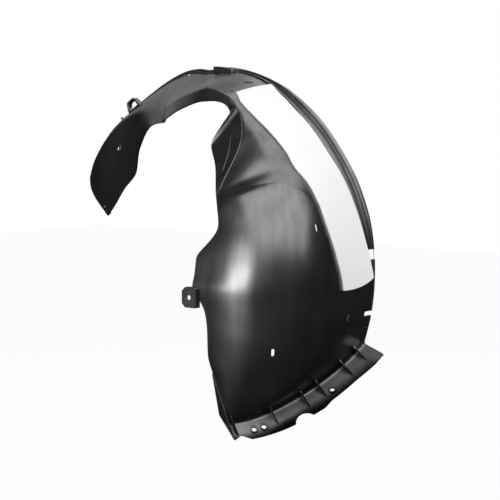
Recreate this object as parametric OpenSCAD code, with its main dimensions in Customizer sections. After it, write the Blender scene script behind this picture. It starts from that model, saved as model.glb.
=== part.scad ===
/* [Arch] */
// Radius of the wheel opening edge, from the axle line
rim_r = 350; // [300:5:400]
// Distance from the wheel opening edge to the inboard wall
liner_depth = 250; // [210:5:290]
// Thickness of the moulded sheet
wall = 3; // [2.5:0.1:4]
// Height of the stiffening ridges beside the wheel opening edge
ridge_h = 7; // [3:0.5:9]
/* [End flange] */
// Width of the flange at the lower end
flange_w = 42; // [34:1:50]
// Thickness of the stiffening ribs and of the end web
rib_t = 2.5; // [1.5:0.1:4]
// Length of each rib up the sheet
rib_up = 20; // [10:1:30]
// Radius of the round cut-out in the flange edge
scallop_r = 19; // [12:1:24]
/* [Foam strip] */
// Thickness of the foam strip
foam_t = 4; // [2:0.5:8]
/* [Fixings] */
// Radius of the main fixing holes
hole_r = 4; // [3:0.25:5]
// Radius of the small locating holes
pin_hole_r = 2.5; // [2:0.25:3.5]
// Radius of the thickened ring round a fixing hole
boss_r = 9; // [7.5:0.5:11]
// Height that the thickened ring stands above the sheet
boss_h = 1.5; // [1:0.25:3]
// Length of a slotted hole, end to end
slot_l = 13; // [10:1:18]
// Width of a slotted hole
slot_w = 5; // [4:0.5:7]
// Size of the side block along X
tab_x = 30; // [26:1:36]
// Size of the side block along Y
tab_y = 12; // [8:1:16]
// Size of the side block along Z
tab_z = 34; // [26:1:40]
// Length of the clip hood on the tail, along the rim
clip_l = 34; // [29:1:40]
// Height of the clip hood
clip_h = 22; // [19:1:25]
// Width of the clip hood
clip_w = 12; // [9:1:15]
// Length of the low block on the rim
block_l = 44; // [36:1:50]
// Width of the low block on the rim
block_w = 20; // [14:1:26]
// Height of the low block on the rim
block_h = 13; // [11:1:16]
// Length of the window slots in the rim
window_l = 18; // [14:1:22]
/* [Hidden] */
$fn = 48;
lap = 1;
// The tables below give lengths in millimetres for a rim radius of 350
arch_scale = rim_r / 350;
u_first = -20;
u_last = 165;
foam_first = 0;
foam_last = 66;
foam_slant = 4;
sweep_first = 29;
sweep_depth = 0.9 * liner_depth;
sweep_end = 30;
rib_places = [0.07, 0.30, 0.50, 0.61, 0.80, 0.92];
// Rows of the cross-section, from the lower end round to the tail tip: angle, depth of the
// inboard corner as a share of the liner depth, its drop below the rim circle, depth share
// and drop of the free edge, rounding of the corner, crown of the panel
SECTIONS = [
  [-20, 0.93, 26, 0.90, 48, 80, 4],
  [-14, 0.955, 12, 0.94, 96, 95, 4],
  [-10, 0.965, 6, 0.965, 125, 110, 4],
  [2, 0.99, 4, 0.99, 161, 140, 4],
  [9, 1.00, 4, 1.00, 191, 150, 4],
  [13, 0.99, 5, 0.99, 189, 142, 5],
  [19, 0.965, 8, 0.975, 184, 130, 6],
  [26, 0.94, 30, 0.94, 130, 90, 14],
  [36, 0.885, 108, 0.90, 117, 6, 42],
  [50, 0.66, 49, 0.76, 106, 6, 16],
  [58, 0.545, 34, 0.69, 97, 6, 8],
  [59.5, 0.53, 32, 0.67, 88, 6, 7],
  [61, 0.525, 30, 0.60, 62, 6, 6],
  [62.5, 0.52, 28, 0.53, 43, 6, 5],
  [66, 0.505, 24, 0.52, 38, 5, 4],
  [75.5, 0.48, 28, 0.51, 51, 5, 4],
  [85, 0.44, 46, 0.48, 71, 5, 4],
  [98.5, 0.36, 66, 0.41, 93, 5, 4],
  [100, 0.30, 62, 0.365, 94, 25, 4],
  [114, 0.16, 40, 0.24, 85, 20, 2],
  [127, 0.10, 22, 0.16, 97, 12, 0],
  [139, 0.08, 14, 0.12, 120, 8, 0],
  [150, 0.07, 12, 0.09, 108, 6, 0],
  [157.5, 0.06, 22, 0.08, 100, 4, 0],
  [165, 0.055, 80, 0.06, 84, 1, 0]
];
// Angle, drop of the rim inside its circle: two shallow dips that take the rim's blocks
RIM_DROPS = [
  [-20, 0], [84, 0], [87, 6], [92, 6], [96, 2], [100, 1], [106, 4], [112, 8], [118, 11],
  [127, 12], [134, 8], [140, 5], [146, 1.5], [151, 0], [156, 2], [160.5, 20], [165, 76]
];
// Angle, width of the ridged edge, distance from the rim to the inner edge of the strip's band
BANDS = [
  [-20, 6, 80], [-2, 6, 88], [5, 14, 95], [12, 24, 111], [20, 32, 126], [30, 40, 130],
  [38, 42, 123], [50, 43, 126], [58, 34, 122], [62, 28, 119], [66, 20, 109], [75, 14, 100],
  [98, 12, 80], [114, 8, 30], [165, 3, 6]
];
// Share of the way along the lower end, and share of the flange width there
FLANGE = [
  [0, 1.12], [0.09, 0.62], [0.13, 0.88], [0.30, 0.98], [0.36, 1], [0.56, 1.05],
  [0.62, 0.95], [0.8, 0.93], [0.93, 1.02], [1, 1.0]
];
BAND_COLS = 4;
PANEL_COLS = 6;
CORNER_COLS = 5;
WALL_COLS = 3;
RIDGE_COLS = 7;
cols = RIDGE_COLS + BAND_COLS + PANEL_COLS + CORNER_COLS + WALL_COLS;
stations = concat(
  [for (u = [u_first : 3 : 55]) u],
  [58, 59.5, 61, 62.5, 64.5],
  [for (u = [67 : 3 : 97]) u],
  [98.5, 100],
  [for (u = [103 : 3 : 160]) u],
  [162.5, u_last]
);
rows = len(stations) - 1;

// Slope of column c between rows i and i + 1 of a table
function rise(t, c, i) = (t[i + 1][c] - t[i][c]) / (t[i + 1][0] - t[i][0]);
// Slope at row i, level at a peak so that the curve never passes its own points
function lean(t, c, i) =
  i == 0 ? rise(t, c, 0) :
  i == len(t) - 1 ? rise(t, c, i - 1) :
  rise(t, c, i - 1) * rise(t, c, i) <= 0 ? 0 :
  2 * rise(t, c, i - 1) * rise(t, c, i) / (rise(t, c, i - 1) + rise(t, c, i));
// Last row of a table that starts at or below x
function row_of(t, x) = min(len(t) - 2, max([for (i = [0 : len(t) - 1]) x >= t[i][0] ? i : 0]));
// Smooth value of column c of a table at x
function at(t, c, x) =
  let (
    i = row_of(t, x),
    h = t[i + 1][0] - t[i][0],
    s = min(1, max(0, (x - t[i][0]) / h)),
    a = 2 * s * s * s - 3 * s * s + 1,
    b = s * s * s - 2 * s * s + s,
    d = s * s * s - s * s
  )
  a * t[i][c] + b * h * lean(t, c, i) + (1 - a) * t[i + 1][c] + d * h * lean(t, c, i + 1);
function unit(v) = v / norm(v);
function mix(a, b, s) = a + (b - a) * s;

// Cross-section at station u, as points of depth and radius, from the rim to the free edge
function section(u) =
  let (
    ridge_w = at(BANDS, 1, u) * arch_scale,
    lip = min(0.7 * ridge_h, 0.15 * ridge_w),
    rim = [0, rim_r - at(RIM_DROPS, 1, u) * arch_scale - lip],
    corner = [-at(SECTIONS, 1, u) * liner_depth, rim_r - at(SECTIONS, 2, u) * arch_scale],
    edge = [-at(SECTIONS, 3, u) * liner_depth, rim_r - at(SECTIONS, 4, u) * arch_scale],
    round_by = at(SECTIONS, 5, u) * arch_scale,
    crown = at(SECTIONS, 6, u) * arch_scale,
    span = norm(corner - rim),
    drop = norm(edge - corner),
    cut = min(round_by / span, 0.85),
    cut_w = min(round_by / drop, 0.9),
    band_in = min(ridge_w / span, 0.6),
    band_out = min(
      max(at(BANDS, 2, u) * arch_scale / span, band_in + 0.05),
      cut > 0.05 ? 0.97 * (1 - min(cut, 0.45)) : 0.97
    ),
    turn = max(1 - cut, band_out + 0.02),
    along = unit(corner - rim),
    out = [along[1], -along[0]],
    h = min(ridge_h, 0.25 * ridge_w),
    ridge = [[0, 0], [0.06, 1], [0.30, 1], [0.38, 0.1], [0.72, 0.1], [0.80, 0.6], [0.92, 0.6], [1, 0]],
    shares = concat(
      [for (p = ridge) [p[0] * band_in, p[1] * h]],
      [for (i = [1 : BAND_COLS]) [mix(band_in, band_out, i / BAND_COLS), 0]],
      [for (i = [1 : PANEL_COLS]) [mix(band_out, turn, i / PANEL_COLS), 0]]
    ),
    panel = [for (p = shares) mix(rim, corner, p[0]) + out * (p[1] + crown * sin(180 * p[0]))],
    start = panel[len(panel) - 1],
    stop = mix(corner, edge, cut_w)
  )
  concat(
    panel,
    [for (i = [1 : CORNER_COLS]) let (s = i / CORNER_COLS)
      (1 - s) * (1 - s) * start + 2 * s * (1 - s) * corner + s * s * stop],
    [for (i = [1 : WALL_COLS]) mix(stop, edge, i / WALL_COLS)]
  );
// Angle round the axle, swept back on the inboard side towards the lower end
function angle_at(u, depth) =
  u - sweep_first * min(1, max(0, (sweep_end - u) / (sweep_end - u_first)))
  * pow(max(0, depth) / sweep_depth, 0.85);
function place(u, p) = let (a = angle_at(u, -p[0])) [p[1] * cos(a), p[0], p[1] * sin(a)];
function station(u) = [for (p = section(u)) place(u, p)];

grid = [for (u = stations) station(u)];
// Outward direction of the sheet at row i, column k
function facing(g, i, k) =
  let (
    n = len(g) - 1,
    m = len(g[0]) - 1,
    a = g[min(n, i + 1)][k] - g[max(0, i - 1)][k],
    b = g[i][min(m, k + 1)] - g[i][max(0, k - 1)]
  )
  unit(cross(b, a)) * -1;
normals = [for (i = [0 : rows]) [for (k = [0 : cols]) facing(grid, i, k)]];
// Direction k of a row averaged over its close neighbours, so that an inner face never folds
function softened(points, dirs, k) =
  unit([for (p = points) exp(-pow(norm(p - points[k]) / (2 * wall), 2))] * dirs);
inner_grid = [for (i = [0 : rows]) [for (k = [0 : cols])
  grid[i][k] - softened(grid[i], normals[i], k) * wall]];

// Point of the sheet at station u, share s of the way across its columns
function on_sheet(u, s) =
  let (row = station(u), x = s * cols, k = min(cols - 1, floor(x))) mix(row[k], row[k + 1], x - k);
function out_at(u, s) =
  unit(cross(
    on_sheet(u + 0.5, s) - on_sheet(u - 0.5, s),
    on_sheet(u, s + 0.004) - on_sheet(u, s - 0.004)
  ));

// Closed skin between two grids of the same size, the first one outside
module skin(top, bottom) {
  n = len(top) - 1;
  m = len(top[0]) - 1;
  w = m + 1;
  low = (n + 1) * w;
  points = concat([for (r = top) each r], [for (r = bottom) each r]);
  faces = concat(
    [for (i = [0 : n - 1]) for (k = [0 : m - 1]) each let (a = i * w + k)
      [[a, a + 1, a + w], [a + 1, a + w + 1, a + w]]],
    [for (i = [0 : n - 1]) for (k = [0 : m - 1]) each let (a = low + i * w + k)
      [[a, a + w, a + 1], [a + 1, a + w, a + w + 1]]],
    [for (i = [0 : n - 1]) each let (a = i * w)
      [[a, a + w, low + a], [a + w, low + a + w, low + a]]],
    [for (i = [0 : n - 1]) each let (a = i * w + m)
      [[a, low + a, a + w], [a + w, low + a, low + a + w]]],
    [for (k = [0 : m - 1]) [k, low + k, k + 1]],
    [for (k = [0 : m - 1]) [k + 1, low + k, low + k + 1]],
    [for (k = [0 : m - 1]) let (a = n * w + k) [a, a + 1, low + a]],
    [for (k = [0 : m - 1]) let (a = n * w + k) [a + 1, low + a + 1, low + a]]
  );
  polyhedron(points, faces, convexity = 10);
}
// Flat plate of thickness t through three points
module web(a, b, c, t) {
  n = unit(cross(b - a, c - a)) * t / 2;
  polyhedron(
    [a + n, b + n, c + n, a - n, b - n, c - n],
    [[2, 1, 0], [3, 4, 5], [0, 1, 4], [0, 4, 3], [1, 2, 5], [1, 5, 4], [2, 0, 3], [2, 3, 5]]
  );
}
// Stands children on point p with +Z along n
module stand(p, n) {
  translate(p)
    rotate([0, acos(n[2]), atan2(n[1], n[0])])
      children();
}

// Lower end of the sheet, from the inboard side out to the rim
end_row = [for (k = [0 : cols]) grid[0][cols - k]];
function run_to(k) = k == 0 ? 0 : run_to(k - 1) + norm(end_row[k] - end_row[k - 1]);
end_run = [for (k = [0 : cols]) run_to(k) / run_to(cols)];
function radial(p) = unit([p[0], 0, p[2]]);
flange_dirs = [for (k = [0 : cols])
  unit(cross(end_row[min(cols, k + 1)] - end_row[max(0, k - 1)], radial(end_row[k]))) * -1];
flange_n = [for (k = [0 : cols]) softened(end_row, flange_dirs, k)];
function flange_row(s, side) = [for (k = [0 : cols])
  let (w = flange_w * lookup(end_run[k], FLANGE))
  end_row[k] + radial(end_row[k]) * mix(-lap, w, s) + flange_n[k] * side];
// Point of the flange at share f along it and distance d out from the sheet
function on_end(f) =
  let (k = min(cols - 1, max([for (i = [0 : cols]) end_run[i] <= f ? i : 0])))
  mix(end_row[k], end_row[k + 1], (f - end_run[k]) / (end_run[k + 1] - end_run[k]));
function on_flange(f, d) = on_end(f) + radial(on_end(f)) * d;
function flange_out(f) =
  unit(cross(radial(on_end(f)), on_end(f + 0.02) - on_end(f - 0.02)));

module end_flange() {
  skin(
    [for (s = [0, 0.5, 1]) flange_row(s, 0.4 * wall)],
    [for (s = [0, 0.5, 1]) flange_row(s, -0.6 * wall)]
  );
}
// Ribs stand in the angle between the sheet and the flange
module end_rib(f) {
  foot = on_flange(f, -lap);
  away = flange_out(f);
  web(foot + away * rib_up, foot - away * lap, on_flange(f, 0.72 * flange_w) - away * lap, rib_t);
}
// Web that closes the inboard end of the flange
module end_web() {
  into = unit(end_row[1] - end_row[0]) * 1.5 * lap;
  web(
    on_sheet(u_first + 7, 1) + into - radial(end_row[0]) * lap,
    end_row[0] + into - radial(end_row[0]) * 3 * lap,
    flange_row(1, -0.2 * wall)[0] + into - radial(end_row[0]) * 2 * lap,
    rib_t
  );
}
// Clip hood: an arch with a way through it, standing in the dip of the tail's rim
clip_u = 124.5;
block_u = 84.3;
module clip_hood() {
  x = clip_l / 2;
  translate(place(clip_u, [-0.5 * clip_w - wall, rim_r - 16.5 * arch_scale - 1.5 * wall]))
    rotate([90, 90 - clip_u, 0])
      difference() {
        linear_extrude(clip_w, center = true)
          polygon([
            [-x, 0], [-0.88 * x, 0.5 * clip_h], [-0.62 * x, 0.92 * clip_h], [-0.5 * x, clip_h],
            [0.42 * x, clip_h], [0.6 * x, 0.92 * clip_h], [0.85 * x, 0.4 * clip_h], [x, 0]
          ]);
        linear_extrude(clip_w + 2 * lap, center = true)
          polygon([
            [-x + 1.9 * wall, 1.6 * wall], [-0.66 * x, 0.5 * clip_h],
            [-0.46 * x, clip_h - 1.25 * wall], [-0.38 * x, clip_h - wall],
            [0.32 * x, clip_h - wall], [0.42 * x, clip_h - 1.3 * wall],
            [0.58 * x, 0.45 * clip_h], [x - 2.1 * wall, 1.6 * wall]
          ]);
      }
}
// Low block in the dip of the rim above the strip, flush with the rim circle
module rim_block() {
  translate(place(block_u, [-0.5 * block_w - wall, rim_r - block_h]))
    rotate([0, 90 - block_u, 0])
      translate([-block_l / 2, -block_w / 2, 0])
        cube([block_l, block_w, block_h]);
}

// Side block at the free edge of the inboard wall
tab_u = 6;
tab_at = on_sheet(tab_u, 1) + [-0.30 * tab_x, -0.2 * tab_y, -4];
// The part's own origin is the middle of the side block's hole
module in_own_frame() {
  translate(-tab_at)
    children();
}
module side_tab() {
  x = tab_x / 2;
  z = tab_z / 2;
  c = 0.22 * tab_x;
  translate(tab_at)
    rotate([90, 0, 0])
      linear_extrude(tab_y, center = true)
        polygon([[-x, c - z], [c - x, -z], [x, -z], [x, z], [c - x, z], [-x, z - c]]);
}

// Fixing holes through the sheet: station and share across it
tail_hole = [138, 0.918];
tip_hole = [162, 0.93];
flank_hole = [-14, 0.22];
pin_holes = [[88, 0.35], [82.5, 0.368], [68, 0.444], [76.5, 0.67], [-8, 0.384]];
// Notches in the rim: station, length as a share of the slot length, depth
rim_notches = [[5.5, 1.3 * slot_l, 2 * slot_w], [-11, 0.6 * slot_l, slot_w]];
// Slotted holes: station and share across the sheet
slots = [[-3, 0.776], [-4, 0.402], [19, 0.696]];
// Window slots that run along the rim
windows = [[70, 0.344], [100, 0.264]];
// Holes through the flange: share along it and distance out from the sheet
flange_holes = [[0.17, 0.52 * flange_w], [0.225, 0.55 * flange_w]];
far_flange_hole = [0.66, 0.60 * flange_w];

module ring_on_sheet(h) {
  stand(on_sheet(h[0], h[1]), out_at(h[0], h[1]))
    translate([0, 0, -0.7 * wall])
      cylinder(r = boss_r, h = 0.7 * wall + boss_h);
}
module hole_in_sheet(h, r) {
  stand(on_sheet(h[0], h[1]), out_at(h[0], h[1]))
    cylinder(r = r, h = 30, center = true);
}
module ring_on_flange(h) {
  stand(on_flange(h[0], h[1]), flange_out(h[0]))
    translate([0, 0, -wall])
      cylinder(r = 0.8 * boss_r, h = wall + boss_h);
}
module hole_in_flange(h, r) {
  stand(on_flange(h[0], h[1]), flange_out(h[0]))
    cylinder(r = r, h = 30, center = true);
}
module slot_in_sheet(h, l, turn) {
  stand(on_sheet(h[0], h[1]), out_at(h[0], h[1]))
    rotate([0, 0, turn]) {
      translate([-(l - slot_w) / 2, -slot_w / 2, -6])
        cube([l - slot_w, slot_w, 12]);
      for (side = [-1, 1])
        translate([side * (l - slot_w) / 2, 0, 0])
          cylinder(r = slot_w / 2, h = 12, center = true);
    }
}
module rim_notch(h) {
  translate(place(h[0], [0, rim_r]))
    rotate([0, 90 - h[0], 0])
      translate([-h[1] / 2, -h[2], -20])
        cube([h[1], 2 * h[2], 40]);
}

// The moulded form with its slots and edge cuts, before the round holes
module moulded_form() {
  difference() {
    union() {
      skin(grid, inner_grid);
      end_flange();
      end_web();
      for (f = rib_places)
        end_rib(f);
      side_tab();
      clip_hood();
      rim_block();
      ring_on_sheet(tail_hole);
      for (h = flange_holes)
        ring_on_flange(h);
      ring_on_flange(far_flange_hole);
    }
    hole_in_flange([0.43, flange_w + 0.45 * scallop_r], scallop_r);
    for (h = slots)
      slot_in_sheet(h, slot_l, 0);
    for (h = windows)
      slot_in_sheet(h, window_l, 90);
    for (h = rim_notches)
      rim_notch(h);
  }
}
module liner() {
  color([0.06, 0.06, 0.065])
    in_own_frame()
      difference() {
        resize([0, 0, 0])
          moulded_form($fn = 24);
        translate(tab_at)
          rotate([90, 0, 0])
            cylinder(r = hole_r, h = 2 * tab_y, center = true);
        hole_in_sheet(tail_hole, hole_r);
        hole_in_sheet(tip_hole, pin_hole_r);
        hole_in_sheet(flank_hole, pin_hole_r);
        for (h = pin_holes)
          hole_in_sheet(h, pin_hole_r);
        for (h = flange_holes)
          hole_in_flange(h, hole_r);
        hole_in_flange(far_flange_hole, hole_r);
      }
}

// Foam strip, bonded on the band beside the ridged edge
foam_rows = [for (u = stations) if (u > foam_first + foam_slant + 1 && u < foam_last) u];
band_cols = [RIDGE_COLS : RIDGE_COLS + BAND_COLS];
function foam_foot(f) = foam_first + foam_slant * pow(f, 1.3);
foam_grid = concat(
  [[for (k = band_cols) on_sheet(foam_foot((k - RIDGE_COLS) / BAND_COLS), k / cols)]],
  [for (u = foam_rows) let (row = station(u)) [for (k = band_cols) row[k]]],
  [[for (k = band_cols) on_sheet(foam_last, k / cols)]]
);
module foam_strip() {
  color([0.93, 0.93, 0.91])
    in_own_frame()
      skin(
        [for (i = [0 : len(foam_grid) - 1]) [for (k = [0 : BAND_COLS])
          foam_grid[i][k] + facing(foam_grid, i, k) * foam_t]],
        foam_grid
      );
}

liner();
foam_strip();
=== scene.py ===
import math

import bmesh
import bpy
import numpy as np
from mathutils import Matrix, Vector


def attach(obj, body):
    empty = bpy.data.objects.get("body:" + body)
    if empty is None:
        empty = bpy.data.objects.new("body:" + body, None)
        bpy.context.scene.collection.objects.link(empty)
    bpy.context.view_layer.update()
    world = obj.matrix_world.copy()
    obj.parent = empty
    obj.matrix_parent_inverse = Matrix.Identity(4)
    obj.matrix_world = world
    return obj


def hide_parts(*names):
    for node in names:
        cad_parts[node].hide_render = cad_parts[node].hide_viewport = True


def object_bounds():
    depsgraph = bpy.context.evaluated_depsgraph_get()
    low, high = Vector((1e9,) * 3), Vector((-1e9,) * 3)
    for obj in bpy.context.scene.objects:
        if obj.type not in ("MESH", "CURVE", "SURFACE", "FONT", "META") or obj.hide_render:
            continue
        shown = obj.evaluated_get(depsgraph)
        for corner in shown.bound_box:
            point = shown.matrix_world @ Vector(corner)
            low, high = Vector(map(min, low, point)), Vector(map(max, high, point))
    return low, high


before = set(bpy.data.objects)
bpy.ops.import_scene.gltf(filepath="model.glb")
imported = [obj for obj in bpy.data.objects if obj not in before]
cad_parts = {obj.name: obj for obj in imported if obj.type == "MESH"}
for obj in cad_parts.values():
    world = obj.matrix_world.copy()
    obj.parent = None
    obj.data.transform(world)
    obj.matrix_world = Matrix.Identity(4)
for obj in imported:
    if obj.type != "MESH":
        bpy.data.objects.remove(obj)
cad_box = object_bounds()

# Moulded sheet: one injection-moulded skin of black polypropylene, 3 mm thick, that wraps
# over the wheel. It runs from the flange at the lower end, up the wide domed panel and
# over the narrow top to the flat tail. Its edge by the wheel opening carries two ridges.
# The wheel's axle line, mm from the side tab's hole
AXLE = np.array([-157.056, 251.727, 30.8634])
RIM_RADIUS = 350.0
LINER_DEPTH = 250.0
SHEET_THICKNESS = 3.0
RIDGE_HEIGHT = 7.0
LOWER_END, TAIL_TIP = -20.0, 165.0  # angles round the axle, degrees
# Angle, depth share and drop of the inboard corner, depth share and drop of the free edge,
# rounding of the corner, crown of the panel
SHAPE_ROUND_ARCH = np.array([
    [-20, 0.93, 26, 0.90, 48, 80, 4],
    [-14, 0.955, 12, 0.94, 96, 95, 4],
    [-10, 0.965, 6, 0.965, 125, 110, 4],
    [2, 0.99, 4, 0.99, 161, 140, 4],
    [9, 1.00, 4, 1.00, 191, 150, 4],
    [13, 0.99, 5, 0.99, 189, 142, 5],
    [19, 0.965, 8, 0.975, 184, 130, 6],
    [26, 0.94, 30, 0.94, 130, 90, 14],
    [36, 0.885, 108, 0.90, 117, 6, 42],
    [50, 0.66, 49, 0.76, 106, 6, 16],
    [58, 0.545, 34, 0.69, 97, 6, 8],
    [59.5, 0.53, 32, 0.67, 88, 6, 7],
    [61, 0.525, 30, 0.60, 62, 6, 6],
    [62.5, 0.52, 28, 0.53, 43, 6, 5],
    [66, 0.505, 24, 0.52, 38, 5, 4],
    [75.5, 0.48, 28, 0.51, 51, 5, 4],
    [85, 0.44, 46, 0.48, 71, 5, 4],
    [98.5, 0.36, 66, 0.41, 93, 5, 4],
    [100, 0.30, 62, 0.365, 94, 25, 4],
    [114, 0.16, 40, 0.24, 85, 20, 2],
    [127, 0.10, 22, 0.16, 97, 12, 0],
    [139, 0.08, 14, 0.12, 120, 8, 0],
    [150, 0.07, 12, 0.09, 108, 6, 0],
    [157.5, 0.06, 22, 0.08, 100, 4, 0],
    [165, 0.055, 80, 0.06, 84, 1, 0],
])
# Angle, drop of the rim inside its circle: two shallow dips that take the rim's blocks
RIM_DROPS = np.array([
    [-20, 0], [84, 0], [87, 6], [92, 6], [96, 2], [100, 1], [106, 4], [112, 8], [118, 11],
    [127, 12], [134, 8], [140, 5], [146, 1.5], [151, 0], [156, 2], [160.5, 20], [165, 76],
])
# Angle, width of the ridged edge, distance from the rim to the inner edge of the strip's band
EDGE_ROUND_ARCH = np.array([
    [-20, 6, 80], [-2, 6, 88], [5, 14, 95], [12, 24, 111], [20, 32, 126], [30, 40, 130],
    [38, 42, 123], [50, 43, 126], [58, 34, 122], [62, 28, 119], [66, 20, 109], [75, 14, 100],
    [98, 12, 80], [114, 8, 30], [165, 3, 6],
])
# Share of the ridged edge's width, and height there as a share of the ridge height
RIDGE_PROFILE = np.array([
    [0, 0], [0.06, 1], [0.30, 1], [0.38, 0.1], [0.72, 0.1], [0.80, 0.6], [0.92, 0.6], [1, 0],
])
# Where each part of the cross-section starts, counted in the solid model's columns
RIDGES_END, BAND_END, PANEL_END, CORNER_END, WALL_END = 7, 11, 17, 22, 25
SWEEP_ANGLE, SWEEP_DEPTH, SWEEP_END = 29.0, 0.9 * LINER_DEPTH, 30.0
BULGE_HEIGHT, BULGE_ANGLE, BULGE_REACH = 12.0, 39.0, 11.0  # fills the panel out below the leaf
SOFTENING = 6.0  # mm over which the inner face's directions are averaged
SHARP_FROM = 32.0  # faces that meet at more than this angle stay sharp, degrees


def smooth_column(table, column, x):
    """Cubic curve through a table's column: the slope at each row is the harmonic mean of
    the slopes on its two sides, and zero at a peak, so the curve never overshoots."""
    knots, values = table[:, 0], table[:, column]
    step = np.diff(knots)
    rise = np.diff(values) / step
    before, after = rise[:-1], rise[1:]
    both = np.where(before * after > 0, before + after, 1.0)
    lean = np.where(before * after > 0, 2 * before * after / both, 0.0)
    lean = np.concatenate([rise[:1], lean, rise[-1:]])
    i = np.clip(np.searchsorted(knots, x, side="right") - 1, 0, len(knots) - 2)
    s = np.clip((x - knots[i]) / step[i], 0, 1)
    a = 2 * s**3 - 3 * s**2 + 1
    return (a * values[i] + (s**3 - 2 * s**2 + s) * step[i] * lean[i]
            + (1 - a) * values[i + 1] + (s**3 - s**2) * step[i] * lean[i + 1])


def cross_section(u, c):
    """Depth and radius of the sheet at angle u and column c. From the rim it follows the
    straight line to the inboard corner, lifted by ridges, by a sine crown and by a second
    sine that a bell curve in u confines to the panel below the leaf. Then it turns
    the corner on a quadratic curve and runs straight to the free edge."""
    ridge_w = smooth_column(EDGE_ROUND_ARCH, 1, u)
    lip = np.minimum(0.7 * RIDGE_HEIGHT, 0.15 * ridge_w)
    row = [smooth_column(SHAPE_ROUND_ARCH, k, u) for k in range(1, 7)]
    rim = np.stack([0 * u, RIM_RADIUS - smooth_column(RIM_DROPS, 1, u) - lip], -1)
    corner = np.stack([-row[0] * LINER_DEPTH, RIM_RADIUS - row[1]], -1)
    edge = np.stack([-row[2] * LINER_DEPTH, RIM_RADIUS - row[3]], -1)
    span = np.linalg.norm(corner - rim, axis=-1)
    cut = np.minimum(row[4] / span, 0.85)
    cut_w = np.minimum(row[4] / np.linalg.norm(edge - corner, axis=-1), 0.9)
    band_in = np.minimum(ridge_w / span, 0.6)
    band_out = np.maximum(smooth_column(EDGE_ROUND_ARCH, 2, u) / span, band_in + 0.05)
    last = np.where(cut > 0.05, 0.97 * (1 - np.minimum(cut, 0.45)), 0.97)
    band_out = np.minimum(band_out, last)
    turn = np.maximum(1 - cut, band_out + 0.02)
    along = (corner - rim) / span[..., None]
    out = np.stack([along[..., 1], -along[..., 0]], -1)

    knot = np.clip(c, 0, RIDGES_END)
    low = np.minimum(knot.astype(int), RIDGES_END - 1)
    part = knot - low
    ridge_at = RIDGE_PROFILE[low, 0] * (1 - part) + RIDGE_PROFILE[low + 1, 0] * part
    ease = part * part * (3 - 2 * part)
    height = RIDGE_PROFILE[low, 1] * (1 - ease) + RIDGE_PROFILE[low + 1, 1] * ease
    height = np.where(c < RIDGES_END, height, 0) * np.minimum(RIDGE_HEIGHT, 0.25 * ridge_w)
    share = ridge_at * band_in
    in_band = np.clip((c - RIDGES_END) / (BAND_END - RIDGES_END), 0, 1)
    in_panel = np.clip((c - BAND_END) / (PANEL_END - BAND_END), 0, 1)
    share = share + in_band * (band_out - band_in) + in_panel * (turn - band_out)
    bulge = BULGE_HEIGHT * np.exp(-((u - BULGE_ANGLE) / BULGE_REACH)**2)
    past_band = np.clip((share - band_out) / (1 - band_out), 0, 1)
    lift = height + row[5] * np.sin(math.pi * share) + bulge * np.sin(math.pi * past_band)
    panel = rim + (corner - rim) * share[..., None] + out * lift[..., None]

    past_band = (turn - band_out) / (1 - band_out)
    lift = row[5] * np.sin(math.pi * turn) + bulge * np.sin(math.pi * past_band)
    start = rim + (corner - rim) * turn[..., None] + out * lift[..., None]
    stop = corner + (edge - corner) * cut_w[..., None]
    t = np.clip((c - PANEL_END) / (CORNER_END - PANEL_END), 0, 1)[..., None]
    bend = (1 - t)**2 * start + 2 * t * (1 - t) * corner + t**2 * stop
    w = np.clip((c - CORNER_END) / (WALL_END - CORNER_END), 0, 1)[..., None]
    wall = stop + (edge - stop) * w
    c = c[..., None]
    return np.where(c <= PANEL_END, panel, np.where(c <= CORNER_END, bend, wall))


def on_sheet(u, c):
    """Point of the sheet's outer face in mm: the cross-section turned to angle u round the
    axle, swept back in proportion to depth to the power 0.85 near the lower end."""
    u, c = np.broadcast_arrays(np.asarray(u, float), np.asarray(c, float))
    p = cross_section(u, c)
    share = np.clip((SWEEP_END - u) / (SWEEP_END - LOWER_END), 0, 1)
    sweep = SWEEP_ANGLE * share * (np.maximum(0, -p[..., 0]) / SWEEP_DEPTH)**0.85
    a = np.radians(u - sweep)
    return np.stack([p[..., 1] * np.cos(a), p[..., 0], p[..., 1] * np.sin(a)], -1) + AXLE


def unit(v):
    """Each vector divided by its length."""
    return v / np.maximum(np.linalg.norm(v, axis=-1, keepdims=True), 1e-9)


def facing(grid):
    """Outward direction of a grid of points: the cross product of its two slopes."""
    along = np.gradient(grid, axis=0)
    across = np.gradient(grid, axis=1)
    return unit(np.cross(along, across))


def softened(grid, direction, reach):
    """Directions averaged along each row with a bell curve of the given reach in mm, so
    that a parallel face never folds over itself at a tight corner."""
    gap = np.linalg.norm(grid[:, :, None] - grid[:, None], axis=-1)
    return unit(np.einsum("rij,rjk->rik", np.exp(-(gap / reach)**2), direction))


def shell_mesh(name, outer, inner):
    """Closed skin between two grids of the same size: both faces, and a strip round the
    four sides that joins them."""
    rows, cols = outer.shape[:2]
    index = np.arange(rows * cols).reshape(rows, cols)
    a, b, c, d = index[:-1, :-1], index[:-1, 1:], index[1:, 1:], index[1:, :-1]
    top = np.stack([a, d, c, b], -1).reshape(-1, 4)
    low = rows * cols
    bottom = np.stack([a, b, c, d], -1).reshape(-1, 4) + low
    ring = np.concatenate([index[0, :], index[1:, -1], index[-1, -2::-1], index[-2:0:-1, 0]])
    after = np.roll(ring, -1)
    side = np.stack([ring, after, after + low, ring + low], -1)
    points = np.concatenate([outer.reshape(-1, 3), inner.reshape(-1, 3)]) / 1000
    mesh = bpy.data.meshes.new(name)
    mesh.from_pydata(points.tolist(), [], np.concatenate([top, bottom, side]).tolist())
    mesh.update()
    return mesh


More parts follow.
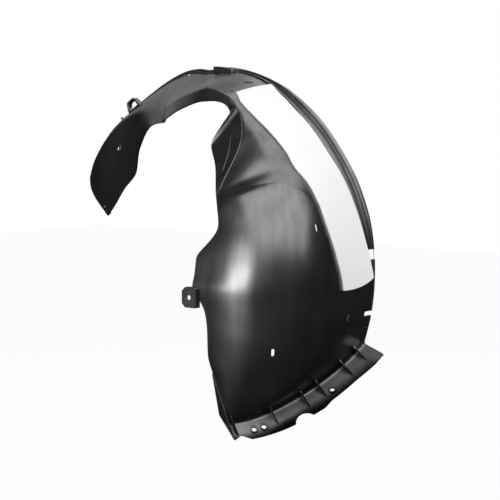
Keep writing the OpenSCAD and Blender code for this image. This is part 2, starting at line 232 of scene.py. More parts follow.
def spread(knots, counts):
    """Values that go from each knot to the next in the given number of equal steps."""
    runs = [np.linspace(a, b, n, endpoint=False) for a, b, n in zip(knots[:-1], knots[1:], counts)]
    return np.concatenate(runs + [knots[-1:]])


# The flange at the lower end is moulded in one with the sheet: the sheet turns outwards
# on a fillet and runs out radially, with an uneven edge.
FLANGE_WIDTH = 42.0
FILLET_ANGLE, FILLET_RUN = 1.3, 8.0
FILLET_ROWS, FLANGE_ROWS = 7, 10
# Share of the way along the lower end from the inboard side, share of the flange width there
FLANGE_EDGE = np.array([
    [0, 1.12], [0.09, 0.62], [0.13, 0.88], [0.30, 0.98], [0.36, 1], [0.56, 1.05],
    [0.62, 0.95], [0.8, 0.93], [0.93, 1.02], [1, 1.0],
])


def radial(p):
    """Direction from the axle line to a point."""
    flat = (p - AXLE) * np.array([1, 0, 1])
    return unit(flat)


def share_along(points):
    """Distance along a row of points from its inboard end, as a share of the whole."""
    run = np.concatenate([[0], np.cumsum(np.linalg.norm(np.diff(points[::-1], axis=0), axis=1))])
    return (run / run[-1])[::-1]


columns = spread(np.array([0, 1, 2, 3, 4, 5, 6, 7, 11, 17, 22, 25.0]),
                 [5, 4, 5, 5, 5, 3, 5, 12, 30, 20, 14])
angles = spread(np.array([LOWER_END + FILLET_ANGLE, 28, 56, 64, 96, 102, 156, TAIL_TIP]),
                [62, 40, 28, 50, 14, 74, 26])
sheet = on_sheet(angles[:, None], columns[None, :])
end_row = on_sheet(LOWER_END, columns)
start_row = sheet[0]
flange_share = share_along(end_row)
flange_reach = FLANGE_WIDTH * np.interp(flange_share, FLANGE_EDGE[:, 0], FLANGE_EDGE[:, 1])
t = np.linspace(0, 1, FILLET_ROWS)[:0:-1, None, None]
turned = end_row + radial(end_row) * FILLET_RUN
fillet = (1 - t)**2 * start_row + 2 * t * (1 - t) * end_row + t**2 * turned
t = np.linspace(1, 0, FLANGE_ROWS)[:-1, None, None]
reach = FILLET_RUN + (flange_reach[None, :, None] - FILLET_RUN) * t
flange = end_row + radial(end_row) * reach
sheet = np.concatenate([flange, fillet, sheet])
inner = sheet - SHEET_THICKNESS * softened(sheet, facing(sheet), SOFTENING)
liner_mesh = shell_mesh("liner_sheet", sheet, inner)
liner = bpy.data.objects.new("liner_sheet", liner_mesh)
bpy.context.scene.collection.objects.link(liner)

# Openings in the moulding: round holes for screws and push clips, slots that take up
# tolerance, two windows, a round cut-out in the flange edge and two notches in the rim.
SCREW_HOLE_RADIUS, PIN_HOLE_RADIUS = 4.0, 2.5
SLOT_LENGTH, SLOT_WIDTH = 13.0, 5.0
SCALLOP_RADIUS = 19.0
# Angle round the axle and column of each hole in the sheet
TAIL_HOLE = (138, 22.95)
PIN_HOLES = [(162, 23.25), (-14, 5.5), (88, 8.75), (82.5, 9.2), (68, 11.1), (76.5, 16.75),
             (-8, 9.6)]
SLOTS = [(-3, 19.4), (-4, 10.05), (19, 17.4)]
WINDOW_LENGTH = 18.0
WINDOWS = [(70, 8.6), (100, 6.6)]  # these run along the rim
# Share along the flange from its inboard end, and distance out from the sheet
FLANGE_HOLES = [(share, part * FLANGE_WIDTH)
                for share, part in [(0.17, 0.52), (0.225, 0.55), (0.66, 0.60)]]
SCALLOP = (0.43, FLANGE_WIDTH + 0.45 * SCALLOP_RADIUS)
# Angle, length and depth of each notch in the rim
RIM_NOTCHES = [(5.5, 16.9, 10), (-11, 7.8, 5)]
# How far each cut reaches on both sides of the sheet
HOLE_CUT, SLOT_CUT, FLANGE_CUT, NOTCH_CUT = 12.0, 6.0, 10.0, 20.0


def outward(u, c):
    """Outward direction of the sheet at one point: the cross product of its slopes."""
    return unit(np.cross(on_sheet(u + 0.5, c) - on_sheet(u - 0.5, c),
                         on_sheet(u, c + 0.1) - on_sheet(u, c - 0.1)))


def on_flange(share, away):
    """Point of the flange: the end of the sheet at that share, moved out radially."""
    foot = np.array([np.interp(share, flange_share[::-1], end_row[::-1, k]) for k in range(3)])
    return foot + radial(foot) * away


def flange_facing(share):
    """Direction up the sheet from the flange: radial direction crossed with its run."""
    foot = on_flange(share, 0)
    return unit(np.cross(radial(foot), on_flange(share + 0.02, 0) - on_flange(share - 0.02, 0)))


def across(direction):
    """Two directions at right angles to one, the first as level as it can be."""
    first = unit(np.cross([0, 0, 1.0], direction))
    return first, unit(np.cross(direction, first))


def round_loop(centre, direction, length, width, along_rim=False, turns=48):
    """Outline of a round-ended slot: a half circle at each end of a straight, or a circle
    where length and width are equal. The slot runs up the sheet or along the rim."""
    first, second = across(direction)
    if along_rim:
        first, second = second, first
    a = np.radians(np.arange(turns) * 360 / turns + 0.5)[:, None]
    shift = np.sign(np.sin(a)) * (length - width) / 2
    return centre + first * np.cos(a) * width / 2 + second * (np.sin(a) * width / 2 + shift)


def through_cut(centre, way, length, width, cut_run, along_rim=False):
    """Outline of a hole on one side of the sheet, and the run that takes it to the other."""
    return round_loop(centre - cut_run * way, way, length, width, along_rim), 2 * cut_run * way


def prism(loops_and_runs):
    """Points and faces of closed prisms: each loop, and the same loop moved along its run."""
    points, faces, base = [], [], 0
    for loop, run in loops_and_runs:
        n = len(loop)
        i = np.arange(n)
        points += [loop, loop + run]
        faces += [(base + i[::-1]).tolist(), (base + n + i).tolist()]
        faces += (base + np.stack([i, (i + 1) % n, (i + 1) % n + n, i + n], -1)).tolist()
        base += 2 * n
    return np.concatenate(points) / 1000, faces


def new_mesh(name, points, faces):
    """Mesh from points in metres, its faces turned to point outwards."""
    mesh = bpy.data.meshes.new(name)
    mesh.from_pydata(points.tolist(), [], faces)
    shape = bmesh.new()
    shape.from_mesh(mesh)
    bmesh.ops.recalc_face_normals(shape, faces=shape.faces)
    shape.to_mesh(mesh)
    shape.free()
    return mesh


punches = []
for u, c in [TAIL_HOLE] + PIN_HOLES:
    wide = 2 * (SCREW_HOLE_RADIUS if (u, c) == TAIL_HOLE else PIN_HOLE_RADIUS)
    punches.append(through_cut(on_sheet(u, c), outward(u, c), wide, wide, HOLE_CUT))
for u, c in SLOTS + WINDOWS:
    level = (u, c) in WINDOWS
    length = WINDOW_LENGTH if level else SLOT_LENGTH
    punches.append(through_cut(on_sheet(u, c), outward(u, c), length, SLOT_WIDTH, SLOT_CUT, level))
for share, away in FLANGE_HOLES + [SCALLOP]:
    wide = 2 * (SCALLOP_RADIUS if (share, away) == SCALLOP else SCREW_HOLE_RADIUS)
    way = flange_facing(share)
    punches.append(through_cut(on_flange(share, away), way, wide, wide, FLANGE_CUT))
for u, length, depth in RIM_NOTCHES:
    a = math.radians(u)
    out, along = np.array([math.cos(a), 0, math.sin(a)]), np.array([-math.sin(a), 0, math.cos(a)])
    mid = AXLE + out * RIM_RADIUS
    corners = [(-1, -1), (-1, 1), (1, 1), (1, -1)]
    loop = np.array([mid + along * x * length / 2 + out * y * depth for x, y in corners])
    punches.append((loop - [0, NOTCH_CUT, 0], np.array([0, 2 * NOTCH_CUT, 0])))
punch = bpy.data.objects.new("punch", new_mesh("punch", *prism(punches)))
bpy.context.scene.collection.objects.link(punch)
cut = liner.modifiers.new("holes", "BOOLEAN")
cut.object = punch
cut.solver = "EXACT"
evaluated = liner.evaluated_get(bpy.context.evaluated_depsgraph_get())
whole = bpy.data.meshes.new_from_object(evaluated)
liner.modifiers.clear()
liner.data = whole
bpy.data.meshes.remove(liner_mesh)
bpy.data.meshes.remove(punch.data)
liner_mesh = whole
liner_mesh.name = "liner_sheet"
liner_mesh.shade_smooth()
liner_mesh.set_sharp_from_angle(angle=math.radians(SHARP_FROM))

plastic = bpy.data.materials.new("black polypropylene")
plastic.use_nodes = True
nodes, links = plastic.node_tree.nodes, plastic.node_tree.links
shader = nodes["Principled BSDF"]
shader.inputs["IOR"].default_value = 2.1
place = nodes.new("ShaderNodeTexCoord")
clouds = nodes.new("ShaderNodeTexNoise")
clouds.inputs["Scale"].default_value = 9
clouds.inputs["Detail"].default_value = 4
links.new(place.outputs["Object"], clouds.inputs["Vector"])
tone = nodes.new("ShaderNodeValToRGB")
tone.color_ramp.interpolation = "EASE"
tone.color_ramp.elements[0].position = 0.35
tone.color_ramp.elements[0].color = (0.008, 0.008, 0.009, 1)
tone.color_ramp.elements[1].position = 0.65
tone.color_ramp.elements[1].color = (0.014, 0.014, 0.015, 1)
links.new(clouds.outputs["Fac"], tone.inputs["Fac"])
links.new(tone.outputs["Color"], shader.inputs["Base Color"])
gloss = nodes.new("ShaderNodeMapRange")
gloss.interpolation_type = "SMOOTHSTEP"
gloss.inputs["From Min"].default_value = 0.3
gloss.inputs["From Max"].default_value = 0.7
gloss.inputs["To Min"].default_value = 0.28
gloss.inputs["To Max"].default_value = 0.33
links.new(clouds.outputs["Fac"], gloss.inputs["Value"])
links.new(gloss.outputs["Result"], shader.inputs["Roughness"])
stretch = nodes.new("ShaderNodeMapping")
stretch.inputs["Scale"].default_value = (62, 62, 6)
links.new(place.outputs["Object"], stretch.inputs["Vector"])
streaks = nodes.new("ShaderNodeTexNoise")
streaks.inputs["Scale"].default_value = 1
streaks.inputs["Detail"].default_value = 5
links.new(stretch.outputs["Vector"], streaks.inputs["Vector"])
sheen = nodes.new("ShaderNodeMapRange")
sheen.inputs["From Min"].default_value = 0.3
sheen.inputs["From Max"].default_value = 0.7
sheen.inputs["To Min"].default_value = 0.78
sheen.inputs["To Max"].default_value = 1.12
links.new(streaks.outputs["Fac"], sheen.inputs["Value"])
links.new(sheen.outputs["Result"], shader.inputs["Specular IOR Level"])
grain = nodes.new("ShaderNodeTexNoise")
grain.inputs["Scale"].default_value = 900
grain.inputs["Detail"].default_value = 2
links.new(place.outputs["Object"], grain.inputs["Vector"])
bump = nodes.new("ShaderNodeBump")
bump.inputs["Strength"].default_value = 0.1
bump.inputs["Distance"].default_value = 0.0004
links.new(grain.outputs["Fac"], bump.inputs["Height"])
links.new(bump.outputs["Normal"], shader.inputs["Normal"])
liner_mesh.materials.append(plastic)
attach(liner, "root")
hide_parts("liner")


def moulded(name, mesh, rounding_mm, angle=40):
    """A feature of the same moulding: its edges rounded, in the sheet's own plastic."""
    piece = bpy.data.objects.new(name, mesh)
    bpy.context.scene.collection.objects.link(piece)
    mesh.shade_smooth()
    mesh.set_sharp_from_angle(angle=math.radians(30))
    soft = piece.modifiers.new("rounded edges", "BEVEL")
    soft.width = rounding_mm / 1000
    soft.segments = 2
    soft.limit_method = "ANGLE"
    soft.angle_limit = math.radians(angle)
    mesh.materials.append(plastic)
    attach(piece, "root")
    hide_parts("liner")
    return piece


# Ribs and end web: thin triangular plates moulded in the angle between the sheet and the
# flange, and one larger plate that closes the flange's inboard end.
RIB_THICKNESS, RIB_UP, RIB_OUT = 2.5, 20.0, 0.72 * FLANGE_WIDTH
RIB_PLACES = [0.07, 0.30, 0.50, 0.61, 0.80, 0.92]
WEB_ANGLE = 7.0  # degrees that the end web climbs up the sheet


def plate(corners, thickness):
    """A flat plate: its outline, and the run across its thickness, centred on the outline."""
    corners = np.array(corners)
    across_it = unit(np.cross(corners[1] - corners[0], corners[2] - corners[0])) * thickness
    return corners - across_it / 2, across_it


half_sheet = SHEET_THICKNESS / 2
ribs = []
for share in RIB_PLACES:
    foot, up = on_flange(share, -half_sheet), flange_facing(share)
    corners = [foot + up * RIB_UP, foot - up, on_flange(share, RIB_OUT) - up]
    ribs.append(plate(corners, RIB_THICKNESS))
moulded("flange_ribs", new_mesh("flange_ribs", *prism(ribs)), 0.5)
end_out = radial(end_row[-1])
inwards = unit(end_row[-3] - end_row[-1]) * half_sheet
web_corners = [on_sheet(LOWER_END + WEB_ANGLE, WALL_END) + inwards - end_out,
               end_row[-1] + inwards - SHEET_THICKNESS * end_out,
               on_flange(0, flange_reach[-1] - 2) + inwards]
moulded("end_web", new_mesh("end_web", *prism([plate(web_corners, RIB_THICKNESS)])), 0.5)

# Raised rings: the sheet is thickened round each screw hole.
RING_RADIUS, FLANGE_RING_RADIUS, RING_HEIGHT = 9.0, 7.2, 1.5
RING_FOOT, RING_SHOULDER = -2.0, 1.0  # the foot lies inside the sheet


def ring(centre, direction, bore, outside, low, high, turns=48):
    """A closed ring: a profile with a rounded shoulder, turned about the hole's axis."""
    first, second = across(direction)
    shoulder = np.radians(np.linspace(0, 90, 5))
    r = np.concatenate([[bore, outside], outside - RING_SHOULDER + np.cos(shoulder), [bore]])
    h = np.concatenate([[low, low], high - RING_SHOULDER + np.sin(shoulder), [high]])
    a = np.arange(turns)[:, None] * 2 * math.pi / turns
    round_it = np.cos(a)[..., None] * first + np.sin(a)[..., None] * second
    points = centre + round_it * r[None, :, None] + direction * h[None, :, None]
    n = len(r)
    i, j = np.meshgrid(np.arange(turns), np.arange(n), indexing="ij")
    k, m = (i + 1) % turns, (j + 1) % n
    faces = np.stack([i * n + j, k * n + j, k * n + m, i * n + m], -1).reshape(-1, 4)
    return points.reshape(-1, 3), faces


rings = [ring(on_sheet(*TAIL_HOLE), outward(*TAIL_HOLE), SCREW_HOLE_RADIUS, RING_RADIUS,
              RING_FOOT, RING_HEIGHT)]
for share, away in FLANGE_HOLES:
    rings.append(ring(on_flange(share, away), flange_facing(share), SCREW_HOLE_RADIUS,
                      FLANGE_RING_RADIUS, RING_FOOT, RING_HEIGHT))
ring_size = len(rings[0][0])
ring_faces = np.concatenate([faces + k * ring_size for k, (points, faces) in enumerate(rings)])
ring_points = np.concatenate([points for points, faces in rings]) / 1000
moulded("fixing_rings", new_mesh("fixing_rings", ring_points, ring_faces.tolist()), 0.2, 60)

# Clip hood, rim block and side tab: small blocks moulded on the rim and on the inboard
# wall. The hood is an arch with a way through it, into which a body clip pushes.
HOOD_ANGLE, HOOD_WIDTH = 124.5, 12.0
HOOD_FOOT = 16.5 + 1.5 * SHEET_THICKNESS  # how far the hood's foot lies inside the rim circle
# Outline of the hood and of the way through it: along the rim, and up from its foot, mm
HOOD_OUTLINE = np.array([
    [-17, 0], [-14.96, 11], [-10.54, 20.24], [-8.5, 22],
    [7.14, 22], [10.2, 20.24], [14.45, 8.8], [17, 0],
])
HOOD_WAY = np.array([
    [-11.3, 4.8], [-11.22, 11], [-7.82, 18.25], [-6.46, 19],
    [5.44, 19], [7.14, 18.1], [9.86, 9.9], [10.7, 4.8],
])
BLOCK_ANGLE, BLOCK_LENGTH, BLOCK_WIDTH, BLOCK_HEIGHT = 84.3, 44.0, 20.0, 13.0
TAB_SIZE, TAB_CHAMFER = np.array([30.0, 12.0, 34.0]), 6.6
TAB_POCKET_RADIUS = 11.5  # the tab is hollow behind its front plate
TAB_TURNS = 96  # points round the tab and its hole


def rim_axes(u):
    """Directions along the rim and out from it at angle u, and the rim's point there."""
    a = math.radians(u)
    out = np.array([math.cos(a), 0, math.sin(a)])
    return np.array([math.sin(a), 0, -math.cos(a)]), out, AXLE + out * RIM_RADIUS


def box_rings(centre, x_way, z_way, stack, around):
    """Rings of points for a block: each ring is an outline scaled to half sizes x and z at
    a place y. around gives the outline's unit points."""
    return np.array([centre + y_way * y + x_way * around[:, :1] * x + z_way * around[:, 1:] * z
                     for x, z, y in stack])


def ring_faces_of(rows, n, loop):
    """Faces between rings of n points: quads in between, and the ends closed by one face
    each, or joined to each other where the rings make a loop."""
    last = rows if loop else rows - 1
    i, j = np.meshgrid(np.arange(last), np.arange(n), indexing="ij")
    k, m = (i + 1) % rows, (j + 1) % n
    faces = np.stack([i * n + j, i * n + m, k * n + m, k * n + j], -1).reshape(-1, 4).tolist()
    if not loop:
        faces += [np.arange(n)[::-1].tolist(), ((rows - 1) * n + np.arange(n)).tolist()]
    return faces


square = np.array([[-1, -1], [1, -1], [1, 1], [-1, 1.0]])
y_way = np.array([0, 1.0, 0])
along_rim, out_of_rim, rim_point = rim_axes(HOOD_ANGLE)
middle = rim_point - out_of_rim * HOOD_FOOT - y_way * (HOOD_WIDTH / 2 + SHEET_THICKNESS)


def hood_ring(outline, y):
    """The hood's outline laid along the rim and out from it, at a place y in its width."""
    return middle + along_rim * outline[:, :1] + out_of_rim * outline[:, 1:] + y_way * y


hood_rings = np.array([hood_ring(outline, side * HOOD_WIDTH / 2) for outline, side in
                       [(HOOD_OUTLINE, 1), (HOOD_OUTLINE, -1), (HOOD_WAY, -1), (HOOD_WAY, 1)]])
hood_faces = ring_faces_of(len(hood_rings), len(HOOD_OUTLINE), True)
moulded("clip_hood", new_mesh("clip_hood", hood_rings.reshape(-1, 3) / 1000, hood_faces), 0.9, 20)
along_rim, out_of_rim, rim_point = rim_axes(BLOCK_ANGLE)
middle = rim_point - out_of_rim * BLOCK_HEIGHT / 2 - y_way * (BLOCK_WIDTH / 2 + SHEET_THICKNESS)
block_stack = [(BLOCK_LENGTH / 2, BLOCK_HEIGHT / 2, y * BLOCK_WIDTH / 2) for y in (1, -1)]
block = box_rings(middle, along_rim, out_of_rim, block_stack, square)
block_faces = ring_faces_of(len(block_stack), len(square), False)
moulded("rim_block", new_mesh("rim_block", block.reshape(-1, 3) / 1000, block_faces), 1.5)
turn = (np.arange(TAB_TURNS) + 0.5) * 2 * math.pi / TAB_TURNS
circle = np.stack([np.cos(turn), np.sin(turn)], -1)
half = TAB_SIZE / 2
reach = np.maximum(np.maximum(np.abs(circle[:, 0]) / half[0], np.abs(circle[:, 1]) / half[2]),
                   (np.abs(circle[:, 1]) - circle[:, 0]) / (half[0] + half[2] - TAB_CHAMFER))
chamfered = circle / reach[:, None]
x_way, z_way = np.array([1.0, 0, 0]), np.array([0, 0, 1.0])
outside = box_rings(np.zeros(3), x_way, z_way, [(1, 1, half[1]), (1, 1, -half[1])], chamfered)
plate_back = SHEET_THICKNESS - half[1]
bore = box_rings(np.zeros(3), x_way, z_way, [
    (r, r, y) for r, y in [(SCREW_HOLE_RADIUS, -half[1]), (SCREW_HOLE_RADIUS, plate_back),
                           (TAB_POCKET_RADIUS, plate_back), (TAB_POCKET_RADIUS, half[1])]
], circle)
tab_rings = np.concatenate([outside, bore])
tab_faces = ring_faces_of(len(tab_rings), TAB_TURNS, True)
moulded("side_tab", new_mesh("side_tab", tab_rings.reshape(-1, 3) / 1000, tab_faces), 0.8)

# Beads: thin round ridges that the mould leaves along the leaf's crease and the ridged
# edge, and a short peg beside the hood. They catch the light as fine lines.
# First and last angle, first and last column, radius in mm
BEADS = [(37, 63, 20.2, 19.6, 1.0), (3, 80, 1.9, 1.9, 0.7), (2, 70, 6.5, 6.5, 0.7),
         (44, 54, 23.6, 23.0, 0.8)]
PEG_ANGLE, PEG_RADIUS, PEG_LENGTH = 131.5, 2.8, 7.5
PEG_DROP, PEG_BACK = 16.0, 7.0  # the peg's foot: inside the rim circle, and back from the rim


def bead(first, last, from_column, to_column, radius, steps=90, turns=8):
    """Points of a round ridge: circles set along the sheet between two angles, thinner
    towards both ends by the fourth root of a sine."""
    way = np.linspace(0, 1, steps)
    centre = on_sheet(first + (last - first) * way, from_column + (to_column - from_column) * way)
    along = unit(np.gradient(centre, axis=0))
    up = unit(on_sheet(first + (last - first) * way, from_column) - AXLE)
    side_way = unit(np.cross(along, up))
    up = np.cross(side_way, along)
    a = np.arange(turns) * 2 * math.pi / turns
    thick = radius * np.maximum(np.sin(math.pi * way), 0.02)**0.25
    a = a[None, :, None]
    circle_way = np.cos(a) * side_way[:, None] + np.sin(a) * up[:, None]
    return centre[:, None] + circle_way * thick[:, None, None]


bead_rows = np.array([bead(*row) for row in BEADS])
bead_size = bead_rows.shape[1] * bead_rows.shape[2]
bead_faces = [[k + n * bead_size for k in face] for n in range(len(BEADS))
              for face in ring_faces_of(bead_rows.shape[1], bead_rows.shape[2], False)]
bead_mesh = new_mesh("mould_beads", bead_rows.reshape(-1, 3) / 1000, bead_faces)
moulded("mould_beads", bead_mesh, 0.05, 80)
along_rim, out_of_rim, rim_point = rim_axes(PEG_ANGLE)
peg_foot = rim_point - out_of_rim * PEG_DROP - y_way * PEG_BACK
peg_loop = round_loop(peg_foot, out_of_rim, 2 * PEG_RADIUS, 2 * PEG_RADIUS)
peg_mesh = new_mesh("rim_peg", *prism([(peg_loop, out_of_rim * PEG_LENGTH)]))
moulded("rim_peg", peg_mesh, 0.5, 60)

# Foam strip: a die-cut strip of white closed-cell foam, 4 mm thick, that deadens the noise
# of stones. It is bonded on the arch beside the ridged edge.
FOAM_THICKNESS = 4.0
FOAM_FIRST, FOAM_LAST, FOAM_SLANT = 0.0, 66.0, 4.0
FOAM_BOND = 0.1  # the underside lies this far inside the sheet's face
FOAM_ROWS, FOAM_COLUMNS = 120, 17
foam_columns = np.linspace(RIDGES_END, BAND_END, FOAM_COLUMNS)
slant = FOAM_SLANT * ((foam_columns - RIDGES_END) / (BAND_END - RIDGES_END))**1.3
foam_first = FOAM_FIRST + slant[None, :]
run = np.linspace(0, 1, FOAM_ROWS)[:, None]
foam_foot = on_sheet(foam_first + (FOAM_LAST - foam_first) * run, foam_columns[None, :])
foam_out = facing(foam_foot)
foam_mesh = shell_mesh("foam_strip_skin", foam_foot + foam_out * FOAM_THICKNESS,
                       foam_foot - foam_out * FOAM_BOND)
foam = bpy.data.objects.new("foam_strip_skin", foam_mesh)
bpy.context.scene.collection.objects.link(foam)
foam_mesh.shade_smooth()
foam_mesh.set_sharp_from_angle(angle=math.radians(SHARP_FROM))
rounding = foam.modifiers.new("soft edges", "BEVEL")
rounding.width = 0.0012
rounding.segments = 3
rounding.limit_method = "ANGLE"
rounding.angle_limit = math.radians(50)

white_foam = bpy.data.materials.new("white foam")
white_foam.use_nodes = True
nodes, links = white_foam.node_tree.nodes, white_foam.node_tree.links
shader = nodes["Principled BSDF"]
shader.inputs["Roughness"].default_value = 0.85
place = nodes.new("ShaderNodeTexCoord")
cells = nodes.new("ShaderNodeTexVoronoi")
cells.inputs["Scale"].default_value = 700
links.new(place.outputs["Object"], cells.inputs["Vector"])
tone = nodes.new("ShaderNodeValToRGB")
tone.color_ramp.elements[0].color = (0.90, 0.90, 0.89, 1)
tone.color_ramp.elements[1].color = (0.96, 0.96, 0.95, 1)
links.new(cells.outputs["Distance"], tone.inputs["Fac"])
links.new(tone.outputs["Color"], shader.inputs["Base Color"])
bump = nodes.new("ShaderNodeBump")
bump.inputs["Strength"].default_value = 0.15
bump.inputs["Distance"].default_value = 0.0005
links.new(cells.outputs["Distance"], bump.inputs["Height"])
links.new(bump.outputs["Normal"], shader.inputs["Normal"])
foam_mesh.materials.append(white_foam)
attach(foam, "root")
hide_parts("foam_strip")

# Studio: a pale floor, a white surround for the camera, and five soft lamps. The camera
# sees the floor almost white, and the rest of its shade is left to the part's shadow.
FLOOR_DROP, FLOOR_REACH, FLOOR_WHITE = 0.35, 6.0, 0.95
floor_z = float(cad_box[0][2]) - FLOOR_DROP
floor_mesh = bpy.data.meshes.new("floor")
floor_mesh.from_pydata([(x * FLOOR_REACH, y * FLOOR_REACH, floor_z)
                        for x, y in [(-1, -1), (1, -1), (1, 1), (-1, 1)]], [], [(0, 1, 2, 3)])
floor = bpy.data.objects.new("floor", floor_mesh)
bpy.context.scene.collection.objects.link(floor)
paper = bpy.data.materials.new("pale floor")
paper.use_nodes = True
nodes, links = paper.node_tree.nodes, paper.node_tree.links
nodes["Principled BSDF"].inputs["Base Color"].default_value = (0.8, 0.8, 0.8, 1)
nodes["Principled BSDF"].inputs["Roughness"].default_value = 0.9
seen = nodes.new("ShaderNodeLightPath")
white = nodes.new("ShaderNodeEmission")
white.inputs["Strength"].default_value = 1.0
mix = nodes.new("ShaderNodeMixShader")
share = nodes.new("ShaderNodeMath")
share.operation = "MULTIPLY"
share.inputs[1].default_value = FLOOR_WHITE
links.new(seen.outputs["Is Camera Ray"], share.inputs[0])
links.new(share.outputs["Value"], mix.inputs["Fac"])
links.new(nodes["Principled BSDF"].outputs["BSDF"], mix.inputs[1])
links.new(white.outputs["Emission"], mix.inputs[2])
links.new(mix.outputs["Shader"], nodes["Material Output"].inputs["Surface"])
floor_mesh.materials.append(paper)

world = bpy.data.worlds.new("studio")
bpy.context.scene.world = world
world.use_nodes = True
nodes, links = world.node_tree.nodes, world.node_tree.links
surround = nodes["Background"]
surround.inputs["Color"].default_value = (1, 1, 1, 1)
surround.inputs["Strength"].default_value = 0.3
backdrop = nodes.new("ShaderNodeBackground")
backdrop.inputs["Color"].default_value = (1, 1, 1, 1)
backdrop.inputs["Strength"].default_value = 1.0
seen = nodes.new("ShaderNodeLightPath")
mirrored = nodes.new("ShaderNodeMath")
mirrored.operation = "MAXIMUM"
seen_or_mirrored = nodes.new("ShaderNodeMath")
seen_or_mirrored.operation = "MAXIMUM"
links.new(seen.outputs["Is Glossy Ray"], mirrored.inputs[0])
links.new(seen.outputs["Is Transmission Ray"], mirrored.inputs[1])
links.new(seen.outputs["Is Camera Ray"], seen_or_mirrored.inputs[0])
links.new(mirrored.outputs["Value"], seen_or_mirrored.inputs[1])
mix = nodes.new("ShaderNodeMixShader")
links.new(seen_or_mirrored.outputs["Value"], mix.inputs["Fac"])
links.new(surround.outputs["Background"], mix.inputs[1])
links.new(backdrop.outputs["Background"], mix.inputs[2])
links.new(mix.outputs["Shader"], nodes["World Output"].inputs["Surface"])

LAMP_AIM = (0, 100, 100)  # mm, near the middle of the part


def soft_lamp(name, place_mm, aim_mm, width, height, watts):
    """Rectangular lamp of the given size in metres, turned towards a point."""
    light = bpy.data.lights.new(name, "AREA")
    light.shape = "RECTANGLE"
    light.size, light.size_y = width, height
    light.energy = watts
    lamp = bpy.data.objects.new(name, light)
    lamp.location = Vector(place_mm) / 1000
    lamp.rotation_euler = (Vector(aim_mm) - Vector(place_mm)).to_track_quat("-Z", "Y").to_euler()
    lamp.visible_camera = False
    bpy.context.scene.collection.objects.link(lamp)
    return lamp


def lamp_from(name, azimuth, elevation, distance, width, height, watts):
    """Soft lamp that looks at the part from an azimuth, counted from straight inboard
    towards the front of the car, and an elevation."""
    a, e = math.radians(azimuth), math.radians(elevation)
    way = np.array([math.sin(a) * math.cos(e), -math.cos(a) * math.cos(e), math.sin(e)])
    return soft_lamp(name, way * distance * 1000, LAMP_AIM, width, height, watts)


# Azimuth, elevation, distance, width and height in metres, watts
lamp_from("key softbox", 52, 43, 2.1, 5.4, 2.6, 56)
lamp_from("overhead softbox", 170, 68, 2.3, 2.2, 1.7, 12)
lamp_from("small fill", -12, 0, 2.4, 1.0, 0.36, 12.5)
lamp_from("back softbox", -120, 30, 2.8, 2.8, 1.6, 6.5)
lamp_from("rear softbox", 186, 22, 2.8, 2.2, 1.8, 20)

# Black cloth: a tent of matt black cloth all round the lamps that only the plastic's
# gloss sees, so that it mirrors dark surroundings beside the lamps.
TENT_RADIUS, TENT_OVER_FLOOR = 3.6, 0.02


def tent(azimuth, elevation):
    """Point of a sphere round the part, flattened where it would go through the floor."""
    a, e = np.radians(azimuth), np.radians(elevation)
    ball = TENT_RADIUS * np.stack([np.sin(a) * np.cos(e), -np.cos(a) * np.cos(e), np.sin(e)], -1)
    return np.maximum(ball, [-TENT_RADIUS, -TENT_RADIUS, floor_z + TENT_OVER_FLOOR])


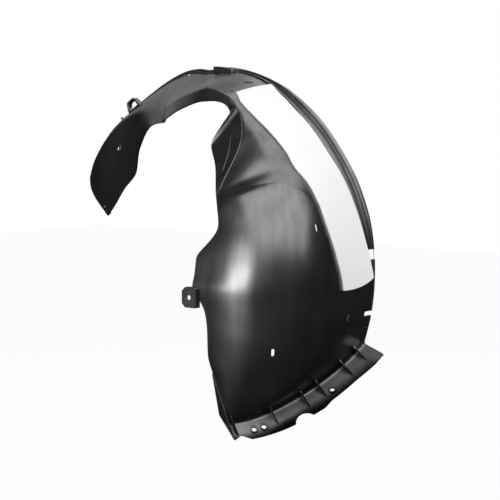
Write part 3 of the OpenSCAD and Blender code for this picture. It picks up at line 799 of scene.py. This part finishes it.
tent_grid = tent(*np.meshgrid(np.linspace(0, 360, 73), np.linspace(-89, 89, 45), indexing="ij"))
rows, cols = tent_grid.shape[:2]
index = np.arange(rows * cols).reshape(rows, cols)
quads = np.stack([index[:-1, :-1], index[:-1, 1:], index[1:, 1:], index[1:, :-1]], -1)
cloth_mesh = bpy.data.meshes.new("black_cloth")
cloth_mesh.from_pydata(tent_grid.reshape(-1, 3).tolist(), [], quads.reshape(-1, 4).tolist())
cloth = bpy.data.objects.new("black_cloth", cloth_mesh)
bpy.context.scene.collection.objects.link(cloth)
velvet = bpy.data.materials.new("black velvet")
velvet.use_nodes = True
shader = velvet.node_tree.nodes["Principled BSDF"]
shader.inputs["Base Color"].default_value = (0.01, 0.01, 0.01, 1)
shader.inputs["Roughness"].default_value = 1.0
shader.inputs["Specular IOR Level"].default_value = 0.0
cloth_mesh.materials.append(velvet)
cloth.visible_camera = cloth.visible_diffuse = cloth.visible_shadow = False

# Black flag: a card above the flange, out of the picture, that keeps most of the big
# lamp's light off it, so that the flange and its ribs stay near black.
# Height over the flange, and distance from the sheet to the card and across it, mm
FLAG_ABOVE, FLAG_FROM, FLAG_REACH = 32.0, 16.0, 290.0
FLAG_STEPS = 24
flag_edge = np.array([[on_flange(share, away) + flange_facing(share) * FLAG_ABOVE
                       for away in (FLAG_FROM, FLAG_FROM + FLAG_REACH)]
                      for share in np.linspace(0, 1, FLAG_STEPS + 1)])
flag_mesh = bpy.data.meshes.new("black_flag")
flag_mesh.from_pydata((flag_edge.reshape(-1, 3) / 1000).tolist(), [],
                      [(k, k + 1, k + 3, k + 2) for k in range(0, 2 * FLAG_STEPS, 2)])
flag = bpy.data.objects.new("black_flag", flag_mesh)
bpy.context.scene.collection.objects.link(flag)
flag_mesh.materials.append(velvet)
flag.visible_camera = False

# Camera: the photo's own angle, with the axle line at its place in the picture.
CAMERA_DISTANCE = 3000.0
AZIMUTH, ELEVATION = math.radians(40), math.radians(6)
PHOTO_SIDE, PIXELS_PER_MM, AXLE_PIXEL = 500, 0.5485, (216, 260)
towards = Vector((-math.sin(AZIMUTH) * math.cos(ELEVATION), math.cos(AZIMUTH) * math.cos(ELEVATION),
                  -math.sin(ELEVATION)))
lens = bpy.data.cameras.new("camera")
camera = bpy.data.objects.new("camera", lens)
camera.location = (Vector(AXLE) - towards * CAMERA_DISTANCE) / 1000
camera.rotation_euler = towards.to_track_quat("-Z", "Y").to_euler()
lens.sensor_width = 36
lens.lens = lens.sensor_width * PIXELS_PER_MM * CAMERA_DISTANCE / PHOTO_SIDE
lens.shift_x = (PHOTO_SIDE / 2 - AXLE_PIXEL[0]) / PHOTO_SIDE
lens.shift_y = (AXLE_PIXEL[1] - PHOTO_SIDE / 2) / PHOTO_SIDE
lens.clip_end = 100
bpy.context.scene.collection.objects.link(camera)
bpy.context.scene.camera = camera
bpy.context.scene.view_settings.view_transform = "Standard"
